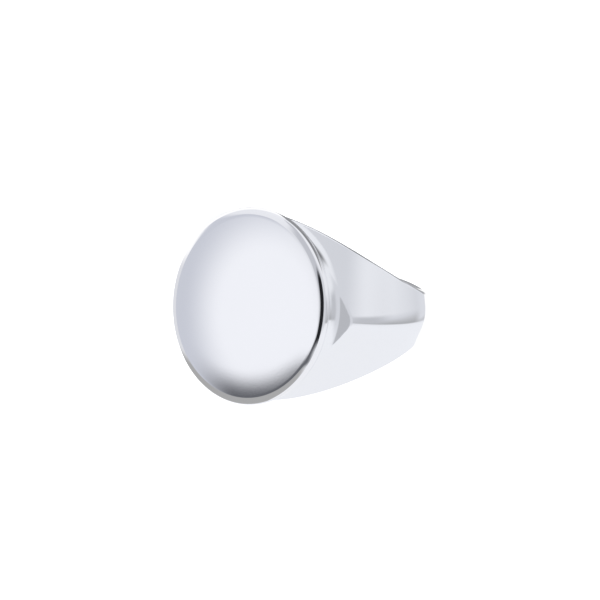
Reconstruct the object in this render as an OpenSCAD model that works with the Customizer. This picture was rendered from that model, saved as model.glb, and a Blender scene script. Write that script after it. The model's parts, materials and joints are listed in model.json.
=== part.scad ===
// Oval signet ring, lying on its side.
// A domed oval plate on a coved head, carried by a ridged shank that tapers to the back.
// Units are millimetres. +Z is up, the oval face looks towards -Y and a little upwards,
// and the origin is the middle of the ring's footprint on the surface it lies on.
//
// The pieces are drawn in the finger's own frame first: the finger hole runs along Y and
// the face looks along +Z. rest() then lays the ring down on its side.

/* [Finger hole] */
// Inside diameter of the ring
bore_d = 18; // [16:0.1:19]

/* [Face] */
// Length of the oval face, along the finger
face_len = 16; // [14:0.1:17]
// Width of the oval face, across the finger
face_wid = 14; // [12:0.1:15]
// Height of the face's edge above the finger's centre
face_h = 11.5; // [11.3:0.05:12.5]
// Rise of the face's dome above its edge
dome_rise = 0.4; // [0.1:0.05:0.8]

/* [Rim of the plate] */
// Slope of the bevel that borders the face, in degrees
bevel_angle = 30; // [20:1:40]
// Length of that bevel
bevel_len = 0.58; // [0.3:0.01:0.7]
// Radius of the rounded nose outside the bevel
nose_r = 0.35; // [0.25:0.01:0.45]
// Depth of the plate's underside below the face's edge
rim_depth = 0.93; // [0.8:0.01:1]

/* [Cove under the head] */
// Radius of the hollow that runs round the head under the plate
cove_r = 1.12; // [1.05:0.01:1.3]
// How far the cove's throat lies inside the plate's edge
cove_depth = 0.65; // [0.4:0.01:0.8]
// Slope of the flat under the cove that cuts the ridge off, in degrees
shelf_angle = 24.2; // [18:0.1:30]

/* [Shank] */
// Thickness of the metal at the back of the finger
back_t = 1.4; // [1.1:0.05:2]
// Width of the band at the back of the finger
back_w = 4; // [3:0.1:5]
// How much nearer the face the outer circle is centred than the hole
swell = 0.8; // [0.5:0.05:1]
// Fall of the outside from its middle ridge to each edge, in degrees
ridge_angle = 14; // [8:0.5:16]
// Radius that softens the ridge
ridge_r = 5; // [3:0.5:7]
// Radius of the hollow curve that each side face follows
side_r = 25.6; // [24:0.1:30]
// Height in the finger's frame at which the side faces start to spread
side_start = -6.9; // [-9:0.1:-5]

/* [Joints] */
// Angle from the face's centre to each solder joint between head and shank
joint_angle = 62; // [58:1:80]
// Thickness of the solder in each joint
solder_t = 0.08; // [0.04:0.01:0.15]

/* [Hidden] */
$fn = 180;
bore_r = bore_d / 2;
face_a = face_len / 2;
face_ratio = face_wid / face_len;
far = 40;

// rim of the plate: bevel, nose, and the short run that turns back in to the underside
bevel_r = face_a + bevel_len * cos(bevel_angle);
bevel_z = face_h - bevel_len * sin(bevel_angle);
nose_end = 110;
nose_x = bevel_r - nose_r * sin(bevel_angle);
nose_z = bevel_z - nose_r * cos(bevel_angle);
nose_low_r = nose_x + nose_r * sin(nose_end);
nose_low_z = nose_z + nose_r * cos(nose_end);
plate_z = face_h - rim_depth;
plate_r = nose_low_r - (nose_low_z - plate_z) * tan(nose_end - 90);
dome_r = (face_a * face_a + dome_rise * dome_rise) / (2 * dome_rise);
dome_steps = 10;

// cove: one round hollow, from the plate's underside in to the throat and out again
cove_x = plate_r - cove_depth + cove_r;
cove_z = plate_z - sqrt(cove_r * cove_r - pow(cove_r - cove_depth, 2));
foot_r = cove_x - cove_r * sin(shelf_angle);
foot_z = cove_z - cove_r * cos(shelf_angle);

// outside of the shank: a circle nearer the face than the hole, with a soft ridge
outer_r = bore_r + back_t + swell;
ridge_y = ridge_r * sin(ridge_angle);
ridge_x = outer_r - ridge_r * (1 - cos(ridge_angle));
reach = 9.6;

// the ring lies on the lower edge of its head and on the back of its band
back_drop = outer_r - ridge_x + (back_w / 2 - ridge_y) * tan(ridge_angle);
back_r = bore_r + back_t - back_drop;
lean = atan2(nose_low_r - back_w / 2, nose_low_z + back_r);
rest_z = nose_low_r * cos(lean) - nose_low_z * sin(lean);
front_y = face_h * cos(lean) + face_a * sin(lean);
back_y = back_r * cos(lean) + back_w / 2 * sin(lean);
rest_y = (front_y - back_y) / 2;

silver = [0.80, 0.82, 0.85];
polished = [0.86, 0.87, 0.90];
solder = [0.70, 0.71, 0.72];

// ---- placing ----

// from the finger's frame to the ring lying on its side
module rest()
    translate([0, rest_y, rest_z])
        rotate([90 - lean, 0, 0])
            children();

// turns an outline in radius and height into an oval body, a quarter turn at a time
module oval_body()
    scale([face_ratio, 1, 1])
        for (q = [0:3])
            rotate([0, 0, 90 * q])
                rotate_extrude(angle = 90)
                    children();

// ---- outlines ----

// height of the face at a distance from its middle
function dome_z(r) = face_h + dome_rise - dome_r + sqrt(dome_r * dome_r - r * r);

module plate_outline() {
    dome = [for (i = [0:dome_steps]) let (r = face_a * (1 - i / dome_steps)) [r, dome_z(r)]];
    polygon(concat([
        [0, plate_z], [plate_r, plate_z], [nose_low_r, nose_low_z], [bevel_r, bevel_z]
    ], dome));
    translate([nose_x, nose_z])
        circle(r = nose_r);
}

// the head inside its cove, from the foot of the cove up to a height
module cove_outline(top) {
    difference() {
        translate([0, foot_z])
            square([cove_x, top - foot_z]);
        translate([cove_x, cove_z])
            circle(r = cove_r);
    }
}

// half section of the shank's outside, from the hole's axis outwards
module ridge_outline() {
    edge = ridge_x - (reach - ridge_y) * tan(ridge_angle);
    polygon([
        [0, -reach], [edge, -reach], [ridge_x, -ridge_y],
        [ridge_x, ridge_y], [edge, reach], [0, reach]
    ]);
    intersection() {
        translate([outer_r - ridge_r, 0])
            circle(r = ridge_r);
        translate([0, -reach])
            square([outer_r, 2 * reach]);
    }
}

// the ring seen from its side: parallel at the back, then spreading to the head
module side_outline() {
    difference() {
        translate([-2 * reach, -reach])
            square([4 * reach, 2 * reach]);
        for (s = [-1, 1])
            translate([side_start, s * (back_w / 2 + side_r)])
                circle(r = side_r, $fn = 360);
        for (s = [0, 1])
            mirror([0, s])
                translate([side_start - far, back_w / 2])
                    square([far, far]);
    }
}

// ---- solids in the finger's frame ----

module outside_body()
    translate([0, 0, swell])
        rotate([90, 0, 0])
            rotate_extrude()
                ridge_outline();

// everything above the two flats that cut the ridge off under the cove
module above_shelves()
    for (s = [-1, 1])
        translate([s * face_ratio * foot_r, 0, foot_z])
            rotate([0, s * shelf_angle, 0])
                translate([-far / 2, -far / 2, 0])
                    cube([far, far, far / 2]);

// the whole band and head, up to a height
module blank(top) {
    difference() {
        intersection() {
            union() {
                difference() {
                    outside_body();
                    above_shelves();
                }
                oval_body()
                    cove_outline(top);
            }
            rotate([0, -90, 0])
                linear_extrude(height = far, center = true)
                    side_outline();
        }
        rotate([90, 0, 0])
            cylinder(r = bore_r, h = far, center = true);
    }
}

// the part of the ring round the face, between the two joints, grown past them by a gap
module head_sector(gap) {
    low = gap * sin(joint_angle);
    side = gap * cos(joint_angle);
    x = side + far * sin(joint_angle);
    z = far * cos(joint_angle) - low;
    rotate([90, 0, 0])
        linear_extrude(height = far, center = true)
            polygon([[-side, -low], [side, -low], [x, z], [x, far], [-x, far], [-x, z]]);
}

// a thin slab on the shank's side of one joint, -1 on the left and 1 on the right
module joint_slab(side)
    rotate([0, side * joint_angle, 0])
        translate([side > 0 ? 0 : -solder_t, -reach, 0])
            cube([solder_t, 2 * reach, far]);

// ---- pieces ----

module signet_plate()
    color(polished)
        rest()
            oval_body()
                plate_outline();

module plate_solder()
    color(solder)
        rest()
            oval_body()
                translate([0, plate_z - solder_t])
                    square([plate_r, solder_t]);

module head_block()
    color(silver)
        rest()
            intersection() {
                blank(plate_z - solder_t);
                head_sector(0);
            }

module shoulder_solder(side)
    color(solder)
        rest()
            intersection() {
                blank(plate_z - solder_t);
                joint_slab(side);
            }

module left_solder()
    shoulder_solder(-1);

module right_solder()
    shoulder_solder(1);

module shank()
    color(silver)
        rest()
            difference() {
                blank(plate_z - solder_t);
                head_sector(solder_t);
            }

signet_plate();
plate_solder();
head_block();
left_solder();
right_solder();
shank();
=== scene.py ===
"""Polished silver signet ring, lying on its side on a pale floor.

The ring is described in the finger's own frame, in millimetres: the finger hole runs
along Y and the oval face looks along +Z. to_row() turns that into the row frame, in metres.
"""
import json
from math import ceil, cos, pi, radians, sin, sqrt

import bmesh
import bpy
import numpy as np
from mathutils import Matrix, Vector


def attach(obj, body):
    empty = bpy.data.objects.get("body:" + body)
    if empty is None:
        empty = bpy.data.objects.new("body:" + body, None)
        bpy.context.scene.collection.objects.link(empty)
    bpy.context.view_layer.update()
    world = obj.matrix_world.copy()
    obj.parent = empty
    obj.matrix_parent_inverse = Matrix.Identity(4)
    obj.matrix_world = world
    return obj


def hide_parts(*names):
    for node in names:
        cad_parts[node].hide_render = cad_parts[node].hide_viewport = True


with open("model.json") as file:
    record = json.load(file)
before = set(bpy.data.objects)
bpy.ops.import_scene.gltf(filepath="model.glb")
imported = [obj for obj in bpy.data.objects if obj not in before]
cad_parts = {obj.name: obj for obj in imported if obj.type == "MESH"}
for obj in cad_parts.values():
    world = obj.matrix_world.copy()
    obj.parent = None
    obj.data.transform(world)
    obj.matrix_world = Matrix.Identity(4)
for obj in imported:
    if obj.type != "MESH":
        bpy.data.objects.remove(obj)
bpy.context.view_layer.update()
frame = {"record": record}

MM = 0.001

# ---- the ring's dimensions, in millimetres ----

BORE_R = 9.0
RATIO = 0.875              # width of the oval over its length
FACE_R, FACE_Z = 8.0, 11.5  # half length of the face, and height of its edge
DOME_RISE = 0.4
PLATE_R, PLATE_Z = 8.577, 10.57
RIM_LOW = (8.656, 10.787)  # where the rim turns in to the underside
SOLDER = 0.08

OUTER_R, SWELL = 11.2, 0.8
RIDGE_ANGLE = radians(14)
RIDGE_R = (5.0, 3.0)       # softness of the ridge at the back and at the head
BACK_HALF, SIDE_R, SIDE_START = 2.0, 25.6, -6.9

COVE_R, COVE_DEPTH = 1.12, 0.65
SHELF = radians(24.2)
COVE_X = PLATE_R - COVE_DEPTH + COVE_R
COVE_Z = PLATE_Z - sqrt(COVE_R ** 2 - (COVE_R - COVE_DEPTH) ** 2)
FOOT_R = COVE_X - COVE_R * sin(SHELF)
FOOT_Z = COVE_Z - COVE_R * cos(SHELF)
HEAD_TOP = PLATE_Z - SOLDER

JOINT = radians(62)

EDGE = (0.45, 0.2)  # rounding of the band's outer edges at the back and at the head
BORE_EDGE = 0.25    # rounding of the mouth of the hole
CREASE = 0.06       # rounding of the crease where the shelf cuts the ridge off
COVE_FILL = 0.65    # sweep of the cove out on to the shelf and shoulders

GRID = 0.11  # spacing of the grid that the band is meshed on
TURNS = 384                         # steps round the oval plate

# ---- the row frame ----

mount = frame["record"]["mounts"][0]
CENTRE = Vector(mount["pos_m"])
AXIS = Vector(mount["axis"]).normalized()
ACROSS = Vector((1, 0, 0))
FACING = ACROSS.cross(AXIS)
TO_ROW = np.array([ACROSS, AXIS, FACING])


def to_row(points):
    """Points in the finger's frame, in millimetres, as points in the row frame, in metres."""
    return np.asarray(points) @ TO_ROW * MM + np.array(CENTRE)


# ---- the band and head as one implicit solid, negative inside ----

def both(a, b, r):
    """Where both solids are, with the edge between them rounded to radius r."""
    corner = np.hypot(np.maximum(a + r, 0), np.maximum(b + r, 0))
    return np.minimum(-r, np.maximum(a, b)) + corner


def either(a, b, r):
    """Where either solid is, with the corner between them filled to radius r."""
    return -both(-a, -b, r)


def barrel(x, y, z):
    """The outside of the shank: a turned barrel with a ridge that softens towards the back."""
    up = np.clip(z / FOOT_Z, 0, 1)
    tip = RIDGE_R[0] + (RIDGE_R[1] - RIDGE_R[0]) * up * up * (3 - 2 * up)
    arc = tip * sin(RIDGE_ANGLE)
    far = np.abs(y) > arc
    slope = (np.abs(y) - arc) * np.tan(RIDGE_ANGLE) + tip * (1 - cos(RIDGE_ANGLE))
    near = tip - np.sqrt(tip ** 2 - np.minimum(np.abs(y), arc) ** 2)
    radius = OUTER_R - np.where(far, slope, near)
    return (np.hypot(x, z - SWELL) - radius) * np.where(far, cos(RIDGE_ANGLE), 1)


def sides(y, z):
    """Between the two side faces, which spread towards the head."""
    up = np.clip(z - SIDE_START, 0, SIDE_R * 0.9)
    root = np.sqrt(SIDE_R ** 2 - up ** 2)
    half = BACK_HALF + SIDE_R - root
    return (np.abs(y) - half) * root / SIDE_R


def shelf(x, z):
    """Below the two flats that cut the ridge off under the cove."""
    return (z - FOOT_Z) * cos(SHELF) + (np.abs(x) - RATIO * FOOT_R) * sin(SHELF)


def coved_head(x, y, z):
    """The oval head with the hollow round it, from the foot of the cove upwards."""
    r = np.hypot(x / RATIO, y) + 1e-9
    steep = np.hypot(x / RATIO ** 2, y) / r
    reach = np.hypot(r - COVE_X, z - COVE_Z) + 1e-9
    hollow = (COVE_R - reach) * reach / (np.hypot((r - COVE_X) * steep, z - COVE_Z) + 1e-9)
    hollow = np.where(z > COVE_Z, hollow, (r - COVE_X + COVE_R) / steep)
    return np.maximum(np.maximum(hollow, (r - COVE_X) / steep), FOOT_Z - z)


def body(x, y, z):
    stock = both(barrel(x, y, z), shelf(x, z), CREASE)
    solid = either(stock, coved_head(x, y, z), COVE_FILL)
    up = np.clip((z + OUTER_R) / (2 * OUTER_R), 0, 1)
    solid = both(solid, sides(y, z), EDGE[0] + (EDGE[1] - EDGE[0]) * up)
    return both(solid, BORE_R - np.hypot(x, z), BORE_EDGE)


def slope_of(points):
    """The direction in which the solid's function grows at each point, and its rate."""
    step = 1e-4
    grad = np.empty_like(points)
    for k in range(3):
        ahead, behind = points.copy(), points.copy()
        ahead[:, k] += step
        behind[:, k] -= step
        grad[:, k] = (body(*ahead.T) - body(*behind.T)) / (2 * step)
    rate = np.linalg.norm(grad, axis=1, keepdims=True) + 1e-12
    return grad / rate, rate[:, 0]


def surface_net(low, high, h):
    """A quad mesh of the implicit solid: one vertex in each grid cell that its surface crosses."""
    counts = [ceil((b - a) / h) + 1 for a, b in zip(low, high)]
    lines = [a + h * np.arange(n) for a, n in zip(low, counts)]
    value = body(*np.meshgrid(*lines, indexing="ij"))
    inside = value < 0
    cells = tuple(n - 1 for n in counts)
    total, hits = np.zeros(cells + (3,)), np.zeros(cells)
    for k in range(3):
        a = np.moveaxis(value, k, 0)
        crossed = (a[:-1] < 0) != (a[1:] < 0)
        part = np.where(crossed, a[:-1] / np.where(crossed, a[:-1] - a[1:], 1), 0)
        crossed, part = np.moveaxis(crossed, 0, k), np.moveaxis(part, 0, k)
        others = [i for i in range(3) if i != k]
        for di in (0, 1):
            for dj in (0, 1):
                cut = [slice(None)] * 3
                cut[others[0]] = slice(di, di + cells[others[0]])
                cut[others[1]] = slice(dj, dj + cells[others[1]])
                here = crossed[tuple(cut)]
                hits += here
                total[..., k] += np.where(here, part[tuple(cut)], 0)
                total[..., others[0]] += here * di
                total[..., others[1]] += here * dj
    live = hits > 0
    number = np.full(cells, -1)
    number[live] = np.arange(live.sum())
    points = np.array(low) + h * (np.argwhere(live) + total[live] / hits[live][:, None])
    for _ in range(4):
        grad, rate = slope_of(points)
        points = points - grad * np.clip(body(*points.T) / rate, -h, h)[:, None]
    quads = []
    for k in range(3):
        i, j = (k + 1) % 3, (k + 2) % 3
        a = np.moveaxis(inside, (k, i, j), (0, 1, 2))
        ids = np.moveaxis(number, (k, i, j), (0, 1, 2))
        start, end = a[:-1, 1:-1, 1:-1], a[1:, 1:-1, 1:-1]
        ring = np.stack([ids[:, :-1, :-1], ids[:, 1:, :-1], ids[:, 1:, 1:], ids[:, :-1, 1:]], -1)
        quads.append(ring[start & ~end])
        quads.append(ring[~start & end][:, ::-1])
    quads = np.concatenate(quads)
    ring = points[quads]
    facing = np.cross(ring[:, 2] - ring[:, 0], ring[:, 3] - ring[:, 1])
    outward = slope_of(ring.mean(axis=1))[0]
    wrong = (facing * outward).sum(axis=1) < 0
    quads[wrong] = quads[wrong][:, ::-1]
    return points, quads


# ---- meshes ----

def add_object(name, mesh, material, node):
    piece = bpy.data.objects.new(name, mesh)
    bpy.context.scene.collection.objects.link(piece)
    mesh.materials.append(material)
    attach(piece, "root")
    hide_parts(node)
    return piece


def cut_piece(name, source, keep, planes, material, node):
    """The part of the band's surface whose face centres pass keep(), closed at the planes."""
    on_plane, probe = 1e-5, 0.02
    bm = bmesh.new()
    bm.from_mesh(source)
    for point, normal in planes:
        everything = bm.verts[:] + bm.edges[:] + bm.faces[:]
        bmesh.ops.bisect_plane(bm, geom=everything, dist=1e-6, plane_co=point, plane_no=normal)
    gone = [f for f in bm.faces if not keep(f.calc_center_median())]
    bmesh.ops.delete(bm, geom=gone, context="FACES")
    caps = set()
    for point, normal in planes:
        rim = [
            e for e in bm.edges
            if e.is_boundary and all(abs((v.co - point).dot(normal)) < on_plane for v in e.verts)
        ]
        if rim:
            made = bmesh.ops.triangle_fill(bm, use_beauty=True, edges=rim)["geom"]
            caps |= {f for f in made if isinstance(f, bmesh.types.BMFace)}
    bm.normal_update()
    for face in caps:
        middle, aside = face.calc_center_median(), face.normal * probe
        if not keep(middle - aside) and keep(middle + aside):
            face.normal_flip()
    bm.faces.index_update()
    flat = np.array([f in caps for f in bm.faces])
    mesh = bpy.data.meshes.new(name)
    bm.to_mesh(mesh)
    bm.free()
    for polygon in mesh.polygons:
        polygon.use_smooth = True
    count = len(mesh.vertices)
    points = np.empty(count * 3)
    mesh.vertices.foreach_get("co", points)
    points = points.reshape(-1, 3)
    normals, _ = slope_of(points)
    corner = np.empty(len(mesh.loops), int)
    mesh.loops.foreach_get("vertex_index", corner)
    split = normals[corner]
    starts = np.empty(len(mesh.polygons), int)
    sizes = np.empty(len(mesh.polygons), int)
    faces = np.empty(len(mesh.polygons) * 3)
    mesh.polygons.foreach_get("loop_start", starts)
    mesh.polygons.foreach_get("loop_total", sizes)
    mesh.polygons.foreach_get("normal", faces)
    faces = faces.reshape(-1, 3)
    for f in np.nonzero(flat)[0]:
        split[starts[f]:starts[f] + sizes[f]] = faces[f]
    mesh.vertices.foreach_set("co", to_row(points).ravel())
    mesh.normals_split_custom_set([tuple(n) for n in split @ TO_ROW])
    mesh.update()
    return add_object(name, mesh, material, node)


def joint_plane(side, gap):
    """The cutting plane of one joint, moved past it by a gap towards the back of the band."""
    away = Vector((side * cos(JOINT), 0, -sin(JOINT)))
    return away * gap, away


def beyond(point, side, gap):
    origin, away = joint_plane(side, gap)
    return (point - origin).dot(away) > 0 and point.x * side > 0


def rim_outline(start, end, steps):
    """The rim's rounded outline: a soft edge, a nearly straight bevel, then a round nose."""
    marks = ((0, 7), (0.06, 14), (0.1, 17), (0.37, 20), (1, 112))
    along, angle = zip(*marks)
    t = (np.arange(steps) + 0.5) / steps
    tilt = np.radians(np.interp(t, along, angle))
    path = np.cumsum(np.stack([np.cos(tilt), -np.sin(tilt)], 1), axis=0)
    size = (end[1] - start[1]) / path[-1, 1]
    stretch = (end[0] - start[0]) / (path[-1, 0] * size)
    return [(start[0] + x * size * stretch, start[1] + z * size) for x, z in path]


def turned_oval(name, outline, material, node, sharp):
    """An oval body from an outline of (radius, height), closed on its axis at both ends."""
    inner = outline[1:-1]
    angles = 2 * pi * np.arange(TURNS) / TURNS
    points = [(0, 0, outline[0][1])]
    for r, z in inner:
        points += [(RATIO * r * cos(a), r * sin(a), z) for a in angles]
    points.append((0, 0, outline[-1][1]))
    faces = []
    last = len(points) - 1
    for k in range(TURNS):
        n = (k + 1) % TURNS
        faces.append((0, 1 + k, 1 + n))
        for row in range(len(inner) - 1):
            a, b = 1 + row * TURNS, 1 + (row + 1) * TURNS
            faces.append((a + k, b + k, b + n, a + n))
        base = 1 + (len(inner) - 1) * TURNS
        faces.append((base + k, last, base + n))
    mesh = bpy.data.meshes.new(name)
    mesh.from_pydata([tuple(p) for p in to_row(points)], [], faces)
    mesh.polygons.foreach_set("use_smooth", [True] * len(mesh.polygons))
    mesh.set_sharp_from_angle(angle=sharp)
    mesh.validate()
    return add_object(name, mesh, material, node)


# ---- materials ----

def polished(name, colour, rough, tone):
    """Polished silver: faint cloudy tarnish, hairline polishing marks and uneven gloss."""
    material = bpy.data.materials.new(name)
    material.use_nodes = True
    nodes, links = material.node_tree.nodes, material.node_tree.links
    shader = nodes["Principled BSDF"]
    shader.inputs["Metallic"].default_value = 1
    place = nodes.new("ShaderNodeTexCoord")
    cloud = nodes.new("ShaderNodeTexNoise")
    cloud.inputs["Scale"].default_value = 260
    cloud.inputs["Detail"].default_value = 5
    tint = nodes.new("ShaderNodeMix")
    tint.data_type = "RGBA"
    tint.inputs["A"].default_value = (*[c * tone for c in colour], 1)
    tint.inputs["B"].default_value = (*colour, 1)
    gloss = nodes.new("ShaderNodeMapRange")
    gloss.inputs["To Min"].default_value = rough * 0.6
    gloss.inputs["To Max"].default_value = rough * 1.5
    stretch = nodes.new("ShaderNodeMapping")
    stretch.inputs["Scale"].default_value = (9000, 900, 5200)
    stretch.inputs["Rotation"].default_value = (0.3, 0.2, 0.5)
    marks = nodes.new("ShaderNodeTexNoise")
    marks.inputs["Scale"].default_value = 1
    marks.inputs["Detail"].default_value = 4
    bump = nodes.new("ShaderNodeBump")
    bump.inputs["Strength"].default_value = 0.02
    bump.inputs["Distance"].default_value = 0.00002
    links.new(place.outputs["Object"], cloud.inputs["Vector"])
    links.new(cloud.outputs["Fac"], tint.inputs["Factor"])
    links.new(tint.outputs["Result"], shader.inputs["Base Color"])
    links.new(cloud.outputs["Fac"], gloss.inputs["Value"])
    links.new(gloss.outputs["Result"], shader.inputs["Roughness"])
    links.new(place.outputs["Object"], stretch.inputs["Vector"])
    links.new(stretch.outputs["Vector"], marks.inputs["Vector"])
    links.new(marks.outputs["Fac"], bump.inputs["Height"])
    links.new(bump.outputs["Normal"], shader.inputs["Normal"])
    return material


face_silver = polished("face_silver", (0.95, 0.95, 0.965), 0.045, 0.985)
body_silver = polished("body_silver", (0.94, 0.945, 0.96), 0.05, 0.98)
solder_silver = polished("solder_silver", (0.935, 0.94, 0.953), 0.06, 0.98)

# ---- band and head ----

reach = (OUTER_R + 0.3, FACE_R + 1.2, FACE_Z + 0.2)
points, quads = surface_net((-reach[0], -reach[1], -reach[2]), reach, GRID)
whole = bpy.data.meshes.new("band_surface")
whole.from_pydata([tuple(p) for p in points], [], quads.tolist())

cuts = [joint_plane(side, gap) for side in (-1, 1) for gap in (0, SOLDER)]
cuts.append((Vector((0, 0, HEAD_TOP)), Vector((0, 0, 1))))


def in_head(p):
    return p.z < HEAD_TOP and not beyond(p, 1, 0) and not beyond(p, -1, 0)


def in_shank(p):
    return beyond(p, 1, SOLDER) or beyond(p, -1, SOLDER) or p.z < 0


def in_film(side):
    return lambda p: beyond(p, side, 0) and not beyond(p, side, SOLDER) and p.z > 0


cut_piece("head", whole, in_head, cuts, body_silver, "head_block")
cut_piece("band", whole, in_shank, cuts, body_silver, "shank")
cut_piece("left_joint", whole, in_film(-1), cuts, solder_silver, "left_solder")
cut_piece("right_joint", whole, in_film(1), cuts, solder_silver, "right_solder")

# ---- plate ----

dome_r = (FACE_R ** 2 + DOME_RISE ** 2) / (2 * DOME_RISE)
face_line = []
for i in range(41):
    r = FACE_R * i / 40
    face_line.append((r, FACE_Z + DOME_RISE - dome_r + sqrt(dome_r ** 2 - r * r)))
rim_line = rim_outline((FACE_R, FACE_Z), RIM_LOW, 64)
plate_line = face_line + rim_line + [(PLATE_R, PLATE_Z), (0, PLATE_Z)]
turned_oval("plate", plate_line, face_silver, "signet_plate", radians(12))
film_line = [(0, PLATE_Z), (PLATE_R, PLATE_Z), (PLATE_R, HEAD_TOP), (0, HEAD_TOP)]
turned_oval("plate_joint", film_line, solder_silver, "plate_solder", radians(30))

# ---- floor ----

bpy.ops.mesh.primitive_plane_add(size=6)
floor = bpy.context.object
floor.name = "floor"
pale = bpy.data.materials.new("pale_floor")
pale.use_nodes = True
nodes, links = pale.node_tree.nodes, pale.node_tree.links
grain = nodes.new("ShaderNodeTexNoise")
grain.inputs["Scale"].default_value = 400
shade = nodes.new("ShaderNodeMix")
shade.data_type = "RGBA"
shade.inputs["A"].default_value = (0.93, 0.93, 0.935, 1)
shade.inputs["B"].default_value = (0.95, 0.95, 0.955, 1)
links.new(grain.outputs["Fac"], shade.inputs["Factor"])
links.new(shade.outputs["Result"], nodes["Principled BSDF"].inputs["Base Color"])
nodes["Principled BSDF"].inputs["Roughness"].default_value = 0.9
floor.data.materials.append(pale)
floor.visible_glossy = False

# ---- studio, painted on the sky in angle round the finger and lean along it ----

world = bpy.data.worlds.new("studio")
world.use_nodes = True
bpy.context.scene.world = world
tree = world.node_tree
tree.nodes.clear()
sky = tree.nodes.new("ShaderNodeTexCoord").outputs["Generated"]


def math(kind, *values):
    node = tree.nodes.new("ShaderNodeMath")
    node.operation = kind
    for socket, value in zip(node.inputs, values):
        if isinstance(value, (int, float)):
            socket.default_value = value
        else:
            tree.links.new(value, socket)
    return node.outputs[0]


def along(axis):
    node = tree.nodes.new("ShaderNodeVectorMath")
    node.operation = "DOT_PRODUCT"
    node.inputs[1].default_value = axis
    tree.links.new(sky, node.inputs[0])
    return node.outputs["Value"]


lean = along(AXIS)
turn = math("DEGREES", math("ARCTAN2", along(ACROSS), along(FACING)))


def step(value, edge, soft):
    """Rises from 0 to 1 across an edge."""
    node = tree.nodes.new("ShaderNodeMapRange")
    node.interpolation_type = "SMOOTHSTEP"
    node.inputs["From Min"].default_value = edge - soft / 2
    node.inputs["From Max"].default_value = edge + soft / 2
    tree.links.new(value, node.inputs["Value"])
    return node.outputs["Result"]


def window(turns, leans, soft_turn, soft_lean):
    """1 inside a window of the sky and 0 outside it."""
    parts = [
        step(turn, turns[0], soft_turn),
        math("SUBTRACT", 1, step(turn, turns[1], soft_turn)),
        step(lean, leans[0], soft_lean),
        math("SUBTRACT", 1, step(lean, leans[1], soft_lean)),
    ]
    result = parts[0]
    for part in parts[1:]:
        result = math("MULTIPLY", result, part)
    return result


def card(centre, half, inner):
    """1 in the middle of an oval card and 0 outside it, fading from an inner share outwards."""
    across = math("DIVIDE", math("SUBTRACT", turn, centre[0]), half[0])
    up = math("DIVIDE", math("SUBTRACT", lean, centre[1]), half[1])
    reach = math("SQRT", math("ADD", math("MULTIPLY", across, across), math("MULTIPLY", up, up)))
    return math("SUBTRACT", 1, step(reach, (inner + 1) / 2, 1 - inner))


def tone(level, blue=1.0):
    """A scene-linear grey from a display level of 0 to 255."""
    c = level / 255
    value = c / 12.92 if c < 0.04045 else ((c + 0.055) / 1.055) ** 2.4
    return (value / blue, value / sqrt(blue), value * blue, 1)


ramp = tree.nodes.new("ShaderNodeValToRGB")
tree.links.new(math("MULTIPLY_ADD", lean, 0.5, 0.5), ramp.inputs["Fac"])
stops = [
    (-1.0, 244, 1.02), (-0.30, 246, 1.03), (-0.165, 244, 1.03),
    (-0.145, 176, 1.03), (-0.08, 194, 1.03), (0.02, 218, 1.04), (0.2, 238, 1.03),
    (1.0, 244, 1.03),
]
elements = ramp.color_ramp.elements
elements[0].position, elements[0].color = (stops[0][0] + 1) / 2, tone(*stops[0][1:])
elements[1].position, elements[1].color = (stops[-1][0] + 1) / 2, tone(*stops[-1][1:])
for at, level, blue in stops[1:-1]:
    elements.new((at + 1) / 2).color = tone(level, blue)
colour = ramp.outputs["Color"]


def paint(colour, mask, level, blue=1.0):
    node = tree.nodes.new("ShaderNodeMix")
    node.data_type = "RGBA"
    node.inputs["B"].default_value = tone(level, blue)
    tree.links.new(mask, node.inputs["Factor"])
    tree.links.new(colour, node.inputs["A"])
    return node.outputs["Result"]


def paint_windows(colour, rows):
    """Paints each row's window: turns, leans, soft turn, soft lean, level and blue."""
    for *place, level, blue in rows:
        colour = paint(colour, window(*place), level, blue)
    return colour


BESIDE = [  # the ends of the outline, the crease and the shelf
    ((88, 200), (0.55, 1.2), 24, 0.2, 135, 1.03),
    ((150, 200), (0.3, 1.2), 16, 0.16, 150, 1.03),
    ((160, 200), (-0.14, 0.3), 16, 0.1, 226, 1.04),
    ((-8, 76), (-0.22, 0.42), 26, 0.16, 218, 1.04),
    ((-8, 32), (-0.22, 0.1), 12, 0.12, 190, 1.04),
    ((72, 108), (-0.14, 0.16), 28, 0.2, 198, 1.04),
    ((-8, 16), (0.0, 0.9), 10, 0.14, 200, 1.05),
]
LEFT = [  # to the left of the camera, as bright as the background
    ((-200, -58), (-0.45, 1.2), 14, 0.1, 262, 1.0),
    ((-104, -58), (-0.45, 0.0), 14, 0.12, 228, 1.03),
    ((-200, -160), (0.3, 1.2), 10, 0.1, 150, 1.03),
    ((-200, -140), (0.0, 0.4), 10, 0.1, 165, 1.03),
]
ROUND_THE_CARD = [  # grey beside the card that the face mirrors, and below it
    ((-60, -20), (-0.5, 0.32), 8, 0.1, 210, 1.07),
    ((-130, 12), (-1.2, -0.45), 10, 0.1, 172, 1.0),
]
colour = paint_windows(colour, BESIDE + LEFT + ROUND_THE_CARD)
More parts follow.
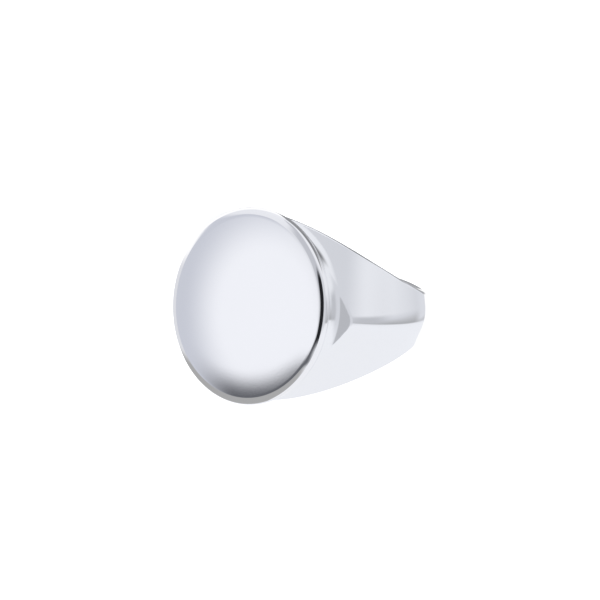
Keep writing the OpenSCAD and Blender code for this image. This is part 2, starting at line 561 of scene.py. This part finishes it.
# the large white card, and a dark crescent past a second oval below it
colour = paint(colour, card((-22.5, -0.17), (17.0, 0.27), 0.5), 249, 1.03)
past = math("SUBTRACT", 1, card((-27, -0.15), (17.1, 0.2), 0.72))
below = window((-33, 16), (-0.46, -0.25), 10, 0.06)
colour = paint(colour, math("MULTIPLY", past, below), 106, 1.07)
# the narrow dark gap that the rim picks up
colour = paint(colour, window((10, 21), (-0.32, 0.2), 3, 0.12), 36, 1.1)

background = tree.nodes.new("ShaderNodeBackground")
output = tree.nodes.new("ShaderNodeOutputWorld")
tree.links.new(colour, background.inputs["Color"])
tree.links.new(background.outputs["Background"], output.inputs["Surface"])

# ---- soft light for the floor, unseen in the silver ----

lamp_data = bpy.data.lights.new("overhead", "AREA")
lamp_data.size = 1.2
lamp_data.energy = 13
lamp_data.use_shadow = False
lamp = bpy.data.objects.new("overhead", lamp_data)
lamp.location = (0, 0, 0.9)
lamp.visible_glossy = False
bpy.context.scene.collection.objects.link(lamp)

# ---- camera ----

DISTANCE, SENSOR = 0.4, 36
AIM = (-0.652 * MM, -0.312 * MM)  # where the camera looks, from the ring's centre
SEEN = 53.55 * MM  # width of the view at the ring's centre
AROUND, ABOVE, TWIST = radians(26), radians(9.14), radians(8.48)
out = ACROSS * sin(AROUND) * cos(ABOVE) + AXIS * sin(ABOVE) + FACING * cos(AROUND) * cos(ABOVE)
right = ACROSS * cos(AROUND) - FACING * sin(AROUND)
above = out.cross(right)
image_x = right * cos(TWIST) + above * sin(TWIST)
image_y = above * cos(TWIST) - right * sin(TWIST)
camera_data = bpy.data.cameras.new("camera")
camera_data.sensor_width = SENSOR
camera_data.lens = SENSOR * DISTANCE / SEEN
camera_data.clip_start = 0.01
camera = bpy.data.objects.new("camera", camera_data)
bpy.context.scene.collection.objects.link(camera)
aim = CENTRE + image_x * AIM[0] + image_y * AIM[1]
turning = Matrix((image_x, image_y, out)).transposed().to_4x4()
camera.matrix_world = Matrix.Translation(aim + out * DISTANCE) @ turning
bpy.context.scene.camera = camera
bpy.context.scene.view_settings.view_transform = "Standard"
